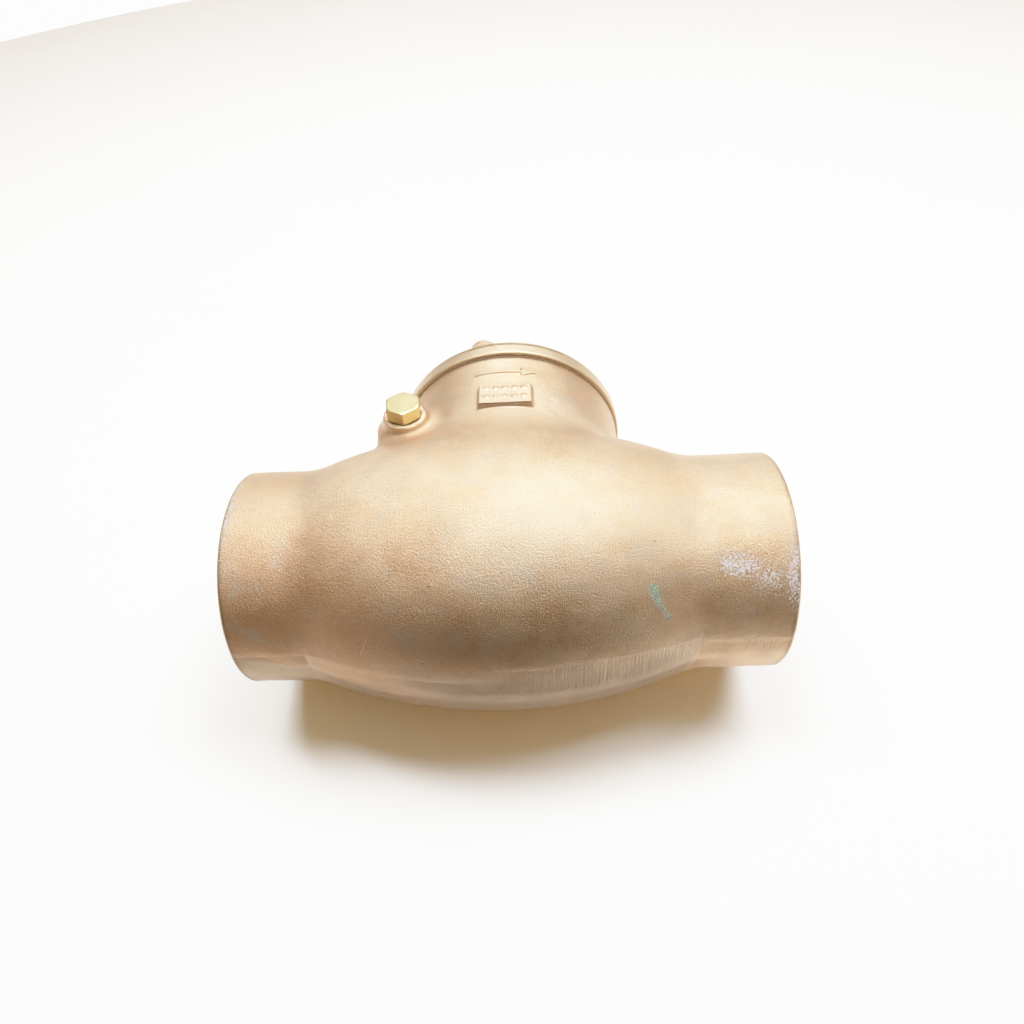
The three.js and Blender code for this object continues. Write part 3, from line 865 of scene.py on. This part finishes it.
def fibre():
    """Dark pressed fibre."""
    material, tree, shader, place = new_material("gasket_fibre")
    flock = noise(tree, place, 0.6, 4, 0.7)
    colour = mix(tree, rise(tree, flock, 0.35, 0.7), rgb(0.10, 0.065, 0.04), rgb(0.20, 0.13, 0.085))
    shader.inputs["Specular IOR Level"].default_value = 0.2
    surface(tree, shader, colour, rise(tree, flock, 0.3, 0.7, 0.75, 0.95), 0.0)
    bump(tree, shader, flock, 0.15, 0.8)
    return material


# -------- paint layers of the castings


def band(value, low, high, soft):
    """1 between low and high, falling to 0 over a soft edge."""
    return np.clip((value - low) / soft + 0.5, 0, 1) * np.clip((high - value) / soft + 0.5, 0, 1)


def ramp(value, span):
    """0 below 0, rising to 1 over a span."""
    return np.clip(value / span, 0, 1)


def peak(away, width):
    """1 at 0, falling to 0 at a width to either side."""
    return np.clip(1 - np.abs(away) / width, 0, 1)


def spots(points, *each):
    """A sum of soft spots, each with its strength, its centre and its radii."""
    total = np.zeros(len(points))
    for strength, centre, radii in each:
        away = np.linalg.norm((points - np.array(centre)) / np.array(radii), axis=1)
        total += strength * np.clip(1 - away, 0, 1)
    return total


def streak(points, start, end, width):
    """1 on a line between two points, 0 at a width from it."""
    start, end = np.array(start), np.array(end)
    share = np.clip((points - start) @ (end - start) / ((end - start) @ (end - start)), 0, 1)
    away = np.linalg.norm(points - start - share[:, None] * (end - start), axis=1)
    return peak(away, width)


def corner_shade(distance, points, normals, reach):
    """How far a point lies in a corner: the distance a little way out falls short of that way. Used for
    painted shade in corners.
    """
    out = points + normals * reach
    return np.clip(1 - distance(*out.T) / reach, 0, 1)


def ground_edge(x):
    """Where the ground strip of the left hub ends, as a height along the pin axis."""
    return np.interp(x, (-102, -88, -77, -65, -57, -44), (5.3, -0.7, -4.3, -6.2, -9.2, -10))


def joint_edge(z):
    """Where the bowl's end meets the right hub in a crisp edge, as a place along the flow."""
    return np.interp(z, (-6.8, -2.6, 6.5, 9.8), (68, 70.2, 72, 69.8))


def end_distance(x):
    """How far a place along the flow is inside the nearer end of the body."""
    return np.minimum(x - INLET_X, OUTLET_X - x)


def under_side(y, flow):
    """True on the outside of the barrel, on the side away from the neck."""
    return (y < 0) * (flow > HUB_RADIUS - 1.5)


def paint_body(piece, points, normals):
    paint_machining(piece, points)
    paint_grinding(piece, points)
    paint_oxide_and_shade(piece, points)
    paint_grime_and_shade(piece, points, normals)
    paint_salts(piece, points)


def paint_machining(piece, points):
    """The cups, the end faces, the seat, the neck's top and thread, and what holds the plugs and the pin."""
    x, y, z = points.T
    flow, neck = np.hypot(y, z), np.hypot(x, z)
    pin = np.hypot(x - PIN_X, y - PIN_Y)
    from_end = end_distance(x)
    cups = (flow < CUP_RADIUS + 0.6) & (from_end < CUP_DEPTH + 0.5)
    ends = ramp(1.3 - from_end, 1)
    seat = (flow < SEAT_RING + 0.3) & (np.abs(x - SEAT_X) < 2.5)
    top = (y > NECK_TOP - 0.6) | ((neck < THREAD_BORE + 0.2) & (y > THREAD_Y - 1))
    faces = (pin < COLLAR_RADIUS + 0.2) & (np.abs(z) > BOSS_FACE - 0.4)
    holes = (pin < 7.0) & (np.abs(z) > POCKET_HALF)
    paint(piece, "machined", cups + ends + seat + top + 0.25 * faces + holes)


def paint_grinding(piece, points):
    """The ground-off parting line and its ribs, the plainer strip beside it, and painted highlights on
    strips and rubbed places.
    """
    x, y, z = points.T
    below = under_side(y, np.hypot(y, z))
    ribbed = band(z, -3.5, 12 - 0.1 * np.maximum(x - 30, 0), 1.5) * band(x, -16, joint_edge(z), 2)
    ribbed = ribbed * ramp(x + 16, 14)
    hub_ribs = 0.8 * band(z, -2, 10, 3) * band(x, 80, 103, 3)
    paint(piece, "ribs", (ribbed + hub_ribs) * below)
    smooth = band(z, -25, 6, 2.5)
    paint(piece, "ground", (ribbed + smooth) * below + 0.5 * ramp(y - 40, 15))

    # painted highlight: the left hub's strip, the right corner strip and spots on the bowl, neck and left
    # hub are painted lighter
    hub_strip_highlight = 0.15 * band(z, -30, ground_edge(x), 1.2) * ramp(-56 - x, 12)
    corner_highlight = 0.4 * band(x, joint_edge(z), 79, 0.8) * band(z, -14, 10, 4) * ramp(84 - x, 12)
    rubbed_highlight = spots(
        points,
        (0.4, (56, -14, 47), (30, 24, 24)),
        (0.6, (12, 42, 50), (70, 22, 26)),
        (0.3, (-86, 2, 43), (30, 22, 20)),
    )
    paint(piece, "polish_and_highlight", (hub_strip_highlight + corner_highlight) * below + rubbed_highlight)


def heel_side(x):
    """1 on the left hub, 0 from the bowl's left third on."""
    return ramp(-36 - x, 24)


def paint_oxide_and_shade(piece, points):
    """Painted shade in a brown oxide colour underneath and in the crease of the left hub, oxide clouds, and
    the copper tone of the left half.
    """
    x, y, z = points.T
    # painted shade: darker underneath the bowl and on the left hub below its ground strip
    under = 0.95 * band(z, -40, 9, 9) * band(x, -40, joint_edge(z), 1.5) * ramp(x + 54, 30)
    heel = 0.9 * heel_side(x) * (z < ground_edge(x))
    clouds = spots(
        points,
        (0.6, (-78, 12, 43), (8, 22, 16)),
        (0.9, (-60, 26, 42), (16, 9, 9)),
        (0.5, (-24, -22, 52), (9, 16, 12)),
        (0.4, (-12, 48, 50), (30, 16, 9)),
    )
    paint(piece, "oxide_and_shade", (under + heel) * under_side(y, np.hypot(y, z)) + clouds)
    paint(piece, "copper", ramp(-x - 10, 45) * ramp(60 - y, 30) * ramp(50 - z, 20))


def paint_grime_and_shade(piece, points, normals):
    """Darker colour: painted shade in corners, under the plate, below the boss and low on the body; dark
    lines on the rims and at the neck's top.
    """
    x, y, z = points.T
    flow, neck = np.hypot(y, z), np.hypot(x, z)
    below = under_side(y, flow)
    # painted shade in corners
    corner = 0.4 * corner_shade(body, points, normals, 3.0)
    groove = 0.3 * band(y, NECK_TOP - 0.8, NECK_TOP + 2, 0.6) * (neck > NECK_RADIUS - 2)
    rims = 0.5 * peak(end_distance(x) - 1.2, 1.2) * (flow > HUB_RADIUS - 0.8)
    # painted shadow under the plate's lower edge
    plate = 0.7 * peak(y - PLATE_Y + PLATE_HALF_HEIGHT + 0.1, 0.6) * (np.abs(x) < 11) * (z > 51.2)
    # painted shade low on the front of the bowl, on the left hub and below the boss
    belly = 0.55 * band(z, -40, 0, 10) * band(x, -66, 66, 24) * below
    front = 0.25 * band(z, 14, 36, 14) * band(x, -50, 40, 30) * below
    line = 0.4 * peak(z - ground_edge(x) - 0.8, 0.8) + 0.3 * ramp(ground_edge(x) - z, 1)
    heel = line * heel_side(x) * below
    near = spots(
        points,
        (0.6, (PIN_X, PIN_Y - 9, 38), (14, 12, 8)),
        (0.4, (-70, -42, 4), (30, 12, 16)),
    )
    paint(piece, "grime_and_shade", corner + groove + rims + plate + belly + front + heel + near)


def paint_salts(piece, points):
    """Limescale on the rims and the right hub, its haze on the front, and a streak of verdigris."""
    x, y, z = points.T
    outside = np.hypot(y, z) > HUB_RADIUS - 1.5
    rims = (0.65 * ramp(6 - (x - INLET_X), 6) + 0.85 * ramp(7 - (OUTLET_X - x), 7)) * outside
    splashes = spots(
        points,
        (1.1, (80, -29, 34), (12, 9, 9)),
        (1.0, (94, -32, 29), (20, 18, 18)),
        (0.5, (77.6, -21.8, 38), (5, 6, 6)),
        (0.5, (-93, 15, 42), (18, 12, 12)),
        (0.6, (-105, -6, 42), (5, 34, 20)),
    )
    paint(piece, "lime", rims + splashes)
    haze = spots(
        points,
        (1.0, (2, -33, 48), (34, 22, 22)),
        (0.7, (30, -38, 40), (34, 20, 20)),
        (0.6, (-20, -52, 26), (24, 12, 12)),
    )
    paint(piece, "haze", haze)
    top, bend, end = (50.6, -38.5, 33.1), (52.5, -40.6, 29.5), (56.6, -43.7, 22.6)
    green = np.maximum(streak(points, top, bend, 3.2), 0.8 * streak(points, bend, end, 2.4))
    paint(piece, "verdigris", green)


def paint_cap(piece, points, normals):
    x, y, z = points.T
    rho = np.hypot(x, z)
    rim = rho > CAP_RADIUS - 1.6
    edge = ramp(1.5 - np.abs(y - CAP_TOP + 1.3), 1) * rim
    inside = (y < CAP_FOOT + 0.3) & (rho < gasket_high[0] - 1)
    paint(piece, "machined", 0.35 * rim + edge + inside)
    # painted shade in the cap's corners, and dark lines at its foot and below its turned edge
    foot = 0.4 * ramp(NECK_RADIUS + 0.9 - rho, 0.5) * (y < CAP_FOOT + 0.5) * (rho > gasket_high[0] - 1)
    below_edge = 0.25 * peak(y - CAP_TOP + 3.0, 0.8) * rim
    paint(piece, "grime_and_shade", 0.4 * corner_shade(cap, points, normals, 3.0) + foot + below_edge)
    paint(piece, "haze", 0.6 * rim * (y < CAP_TOP - 2))
    for layer in ("lime", "oxide_and_shade", "verdigris", "copper", "ground", "ribs", "polish_and_highlight"):
        paint(piece, layer, np.zeros(len(x)))


# -------- pieces


def cast_relief(amount):
    """The slow waves and the coarse grain of a sand mould, as millimetres outwards."""
    def relief(points):
        waves = 0.16 * lattice_noise(points, 17, 3) + 0.07 * lattice_noise(points, 6, 4)
        return amount * (waves + 0.03 * lattice_noise(points, 2.6, 5))
    return relief


def body_relief(points):
    x, y, z = points.T
    pin = np.hypot(x - PIN_X, y - PIN_Y)
    outside = body_outside(x, y, z) > -1.0
    cast = outside & (end_distance(x) > 1.2) & (y < NECK_TOP - 1) & (pin > 10.5)
    return cast_relief(1.0)(points) * cast


def cap_relief(points):
    x, y, z = points.T
    cast = (y > CAP_TOP + 0.2) & (np.hypot(x, z) < CAP_RADIUS - 2)
    return cast_relief(0.8)(points) * cast


def crisp_places(points):
    """The plate and the arrow, the ends' rims, the cups' stops and the ground joints."""
    x, y, z = points.T
    flow = np.hypot(y, z)
    from_end = end_distance(x)
    plate = (np.abs(x) < 15) & (y > 41) & (y < 70) & (z > 48)
    rims = (from_end < 3) & (flow > CUP_RADIUS - 1)
    stops = (np.abs(from_end - CUP_DEPTH) < 2) & (flow < CUP_RADIUS + 1)
    joints = (np.abs(z) < 14) & (y < -35) & (((x < -42) & (flow > HUB_RADIUS - 2)) | ((x > 64) & (x < 80)))
    return plate | rims | stops | joints


def cap_edge(points):
    """The turned upper edge of the cap."""
    x, y, z = points.T
    return (np.hypot(x, z) > CAP_RADIUS - 2) & (y > CAP_TOP - 4.5)


bronze = cast_bronze()
brass = drawn_brass()
hanger_metal = hanger_bronze()
flow_axis = (tuple(ORIGIN), tuple(FLOW_AXIS))
hinge_axis = (tuple(JOINTS["disc_swing"]["pos_m"]), tuple(PIN_AXIS))
turned_brass = turned("turned_brass", (0.80, 0.62, 0.34), (0.68, 0.50, 0.28), 0.3, flow_axis)
steel = turned("ground_steel", (0.66, 0.66, 0.64), (0.56, 0.55, 0.53), 0.28, hinge_axis)

valve_body, body_points, body_normals = sculpted(
    "valve_body", body, "body", 1.0, body_relief, crisp_places
)
paint_body(valve_body, body_points, body_normals)
stand_in(valve_body, "root", "body", "cast_bronze", bronze)

valve_cap, cap_points, cap_normals = sculpted("valve_cap", cap, "cap", 0.7, cap_relief, cap_edge)
paint_cap(valve_cap, cap_points, cap_normals)
stand_in(valve_cap, "root", "cap", "cast_bronze", bronze)

seat = ring("seat_disc", STUD_HOLE, 0.4)
seat_washer = ring("seat_disc_washer", STUD_HOLE)
seat_nut = nut("seat_disc_nut", 13, STUD_HOLE)
stem_washer = ring("hanger_washer", STEM_HOLE)
stem_nut = nut("hanger_nut", 19, STEM_HOLE)

PIECES = [  # name, distance, CAD node, body, grid step, slot, material
    ("gasket_ring", gasket, "cap_gasket", "root", 0.5, "gasket_fibre", fibre()),
    ("plug_top", side_plug(1), "side_plug_top", "root", 0.25, "brass", brass),
    ("plug_bottom", side_plug(-1), "side_plug_bottom", "root", 0.25, "brass", brass),
    ("pin", hinge_pin, "hinge_pin", "root", 0.4, "stainless", steel),
    ("hanger", hanger, "disc_hanger", "hanger", 0.5, "hanger_bronze", hanger_metal),
    ("holder", disc_holder, "disc_holder", "disc", 0.45, "turned_brass", turned_brass),
    ("seat", seat, "seat_disc", "disc", 0.5, "seat_plastic", soft_plastic()),
    ("seat_washer", seat_washer, "seat_disc_washer", "disc", 0.35, "turned_brass", turned_brass),
    ("seat_nut", seat_nut, "seat_disc_nut", "disc", 0.25, "brass", brass),
    ("stem_washer", stem_washer, "hanger_washer", "disc", 0.25, "turned_brass", turned_brass),
    ("stem_nut", stem_nut, "hanger_nut", "disc", 0.3, "brass", brass),
    ("split_pin", cotter, "cotter_pin", "disc", 0.2, "stainless", steel),
]
for name, distance, node, body_name, step, slot, material in PIECES:
    made, _, _ = sculpted(name, distance, node, step)
    stand_in(made, body_name, node, slot, material)

# -------- stage, light and camera

SHOULDER_END = 4.0  # the light that the film curve shows as pure white
LAMP_COLOUR = (0.93, 1.0, 1.06)
LAMP_TARGET = Vector((0, 0, 0.05))


def stage_floor():
    """A round table of matt, nearly white paper."""
    bpy.ops.mesh.primitive_circle_add(vertices=128, radius=1.1, fill_type="NGON")
    floor = bpy.context.object
    floor.name = "table"
    material, tree, shader, place = new_material("table")
    speck = noise(tree, place, 1.4, 3, 0.6)
    tone = noise(tree, place, 160, 3, 0.5)
    colour = mix(tree, rise(tree, tone, 0.3, 0.7), rgb(0.90, 0.91, 0.905), rgb(0.93, 0.93, 0.92))
    colour = mix(tree, rise(tree, speck, 0.2, 0.12, 0, 0.25), colour, rgb(0.55, 0.5, 0.45))
    surface(tree, shader, colour, 0.9, 0.0)
    shader.inputs["Specular IOR Level"].default_value = 0.1
    floor.data.materials.append(material)


def soft_light(name, place, size, power, on_paper=True, on_metal=True, target=LAMP_TARGET):
    """A rectangular lamp. The matt paper and the shiny metal can each have lamps of their own."""
    light = bpy.data.lights.new(name, "AREA")
    light.shape = "RECTANGLE"
    light.size, light.size_y = size
    light.energy = power
    light.color = LAMP_COLOUR
    lamp = bpy.data.objects.new(name, light)
    lamp.location = place
    lamp.rotation_euler = (target - Vector(place)).to_track_quat("-Z", "Y").to_euler()
    lamp.visible_diffuse = on_paper
    lamp.visible_glossy = on_metal
    bpy.context.scene.collection.objects.link(lamp)


def glossy_card(name, corners, shade):
    """A card that only reflections see, as a photographer flags a shiny object."""
    mesh = bpy.data.meshes.new(name)
    mesh.from_pydata(corners, [], [(0, 1, 2, 3)])
    card = bpy.data.objects.new(name, mesh)
    material = bpy.data.materials.new(name)
    material.use_nodes = True
    tree = material.node_tree
    tree.nodes.remove(tree.nodes["Principled BSDF"])
    glow = add(tree, "ShaderNodeEmission", {"Color": rgb(*shade), "Strength": 1.0})
    tree.links.new(glow.outputs[0], tree.nodes["Material Output"].inputs["Surface"])
    mesh.materials.append(material)
    bpy.context.scene.collection.objects.link(card)
    for ray in ("camera", "diffuse", "shadow", "transmission"):
        setattr(card, "visible_" + ray, False)


def room_light():
    """A dim warm room. The camera sees a white wall in its place, and metal mirrors it a little paler."""
    world = bpy.data.worlds.new("room")
    world.use_nodes = True
    tree = world.node_tree
    path = add(tree, "ShaderNodeLightPath").outputs
    wall = add(tree, "ShaderNodeBackground", {"Color": rgb(0.98, 1.0, 1.0), "Strength": 2.3})
    mirrored = add(tree, "ShaderNodeBackground", {"Color": rgb(1.0, 0.86, 0.70), "Strength": 0.4})
    warm = tree.nodes["Background"]
    warm.inputs["Color"].default_value = rgb(1.0, 0.58, 0.16)
    warm.inputs["Strength"].default_value = 0.5
    inputs = {0: path["Is Glossy Ray"], 1: warm.outputs[0], 2: mirrored.outputs[0]}
    unseen = add(tree, "ShaderNodeMixShader", inputs)
    inputs = {0: path["Is Camera Ray"], 1: unseen.outputs[0], 2: wall.outputs[0]}
    room = add(tree, "ShaderNodeMixShader", inputs)
    tree.links.new(room.outputs[0], tree.nodes["World Output"].inputs["Surface"])
    bpy.context.scene.world = world


def soft_shoulder():
    """The tones of an ordinary camera: straight in the shadows, bending over towards white."""
    settings = bpy.context.scene.view_settings
    settings.view_transform = "Standard"
    settings.use_curve_mapping = True
    curve = settings.curve_mapping
    curve.white_level = (SHOULDER_END,) * 3
    line = curve.curves[3]
    for light, tone in ((0.25, 0.25), (0.5, 0.45), (1.0, 0.74), (1.6, 0.92), (2.5, 0.99)):
        line.points.new(light / SHOULDER_END, tone)
    curve.update()


def camera():
    """Hand-held above the valve, a little to the right, with a wide lens."""
    target = ORIGIN + Vector((0.35, 29.9, 0)) * MM
    distance = 0.3256
    azimuth = math.radians(2.70)
    elevation = math.radians(50.59)
    roll = math.radians(-4.27)
    flat = math.cos(elevation)
    forward = Vector((-math.sin(azimuth) * flat, math.cos(azimuth) * flat, -math.sin(elevation)))
    level = forward.cross(Vector((0, 0, 1))).normalized()
    above = level.cross(forward)
    right = level * math.cos(roll) + above * math.sin(roll)
    up = right.cross(forward)
    lens = bpy.data.cameras.new("camera")
    lens.lens = 25.47
    lens.sensor_width = 36
    lens.clip_start = 0.01
    view = bpy.data.objects.new("camera", lens)
    turn = Matrix((right, up, -forward)).transposed().to_4x4()
    view.matrix_world = Matrix.Translation(target - forward * distance) @ turn
    bpy.context.scene.collection.objects.link(view)
    bpy.context.scene.camera = view


stage_floor()
room_light()
soft_light("left", (-0.25, 0.16, 1.0), (0.12, 0.5), 9, on_metal=False)
soft_light("right", (0.42, 0.18, 1.0), (0.5, 0.5), 13, on_metal=False)
soft_light("rear", (0.05, 0.6, 1.5), (0.8, 0.7), 15, on_metal=False)
soft_light("overhead", (0.03, 0.26, 1.0), (0.1, 0.8), 14, on_paper=False)
soft_light("side", (0.62, 0.16, 1.0), (0.5, 0.6), 8, on_paper=False)
soft_light("high", (0.0, 0.85, 1.4), (0.8, 0.7), 13, on_paper=False)
soft_light("ceiling", (0.0, 0.1, 1.8), (2.4, 2.4), 8, target=Vector((0, 0.1, 0)))
dark_front = [(-1.5, -0.125, 0.002), (1.5, -0.125, 0.002), (1.5, -1.2, 0.35), (-1.5, -1.2, 0.35)]
glossy_card("dark_front", dark_front, (0.09, 0.08, 0.065))
camera()
soft_shoulder()
